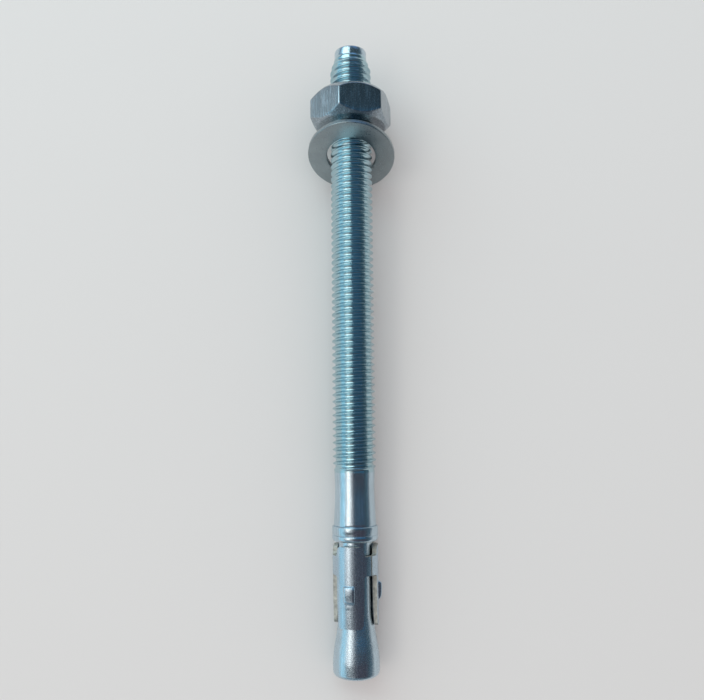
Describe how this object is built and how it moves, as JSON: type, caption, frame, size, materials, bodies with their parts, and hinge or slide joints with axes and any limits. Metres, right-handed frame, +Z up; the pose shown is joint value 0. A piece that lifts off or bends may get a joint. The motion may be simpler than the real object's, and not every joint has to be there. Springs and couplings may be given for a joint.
{
  "type": "wedge anchor",
  "caption": "Steel wedge anchor: threaded stud with a collar, slotted expansion clip on a reduced neck, flared cone end, loose flat washer and chamfered hex nut.",
  "frame": {"origin": "centre of the bounding box's base, on the surface that the anchor lies on", "axes": "+Y towards the threaded end, the bolt's axis rising 2.18 degrees towards it; +Z up"},
  "size_m": [0.02, 0.1402, 0.0191],
  "materials": {
    "stud_zinc": "blue-white zinc plating, satin to bright",
    "clip_zinc": "blue-white zinc plating on rolled sheet, satin",
    "washer_zinc": "blue-white zinc plating, matt",
    "nut_zinc": "blue-white zinc plating, drawn bar with fine lengthwise scratches"
  },
  "bodies": {
    "stud": {"stud": "stud_zinc"},
    "clip": {"expansion_clip": "clip_zinc"},
    "washer": {"washer": "washer_zinc"},
    "nut": {"hex_nut": "nut_zinc"}
  },
  "joints": [
    {"name": "clip_turn", "type": "hinge", "parent": "stud", "child": "clip", "pos_m": [0, -0.05091, 0.00568], "axis": [0, -0.9993, -0.0381], "continuous": true},
    {"name": "washer_travel", "type": "slide", "parent": "stud", "child": "washer", "axis": [0, -0.9993, -0.0381], "range_m": [-0.00601, 0.07651]},
    {"name": "nut_turn", "type": "hinge", "parent": "washer", "child": "nut", "pos_m": [0, 0.05521, 0.00972], "axis": [0, -0.9993, -0.0381], "range_deg": [-1440, 18360]}
  ],
  "couplings": [
    {"joint": "washer_travel", "follows": "nut_turn", "m_per_rad": 0.00023873}
  ]
}
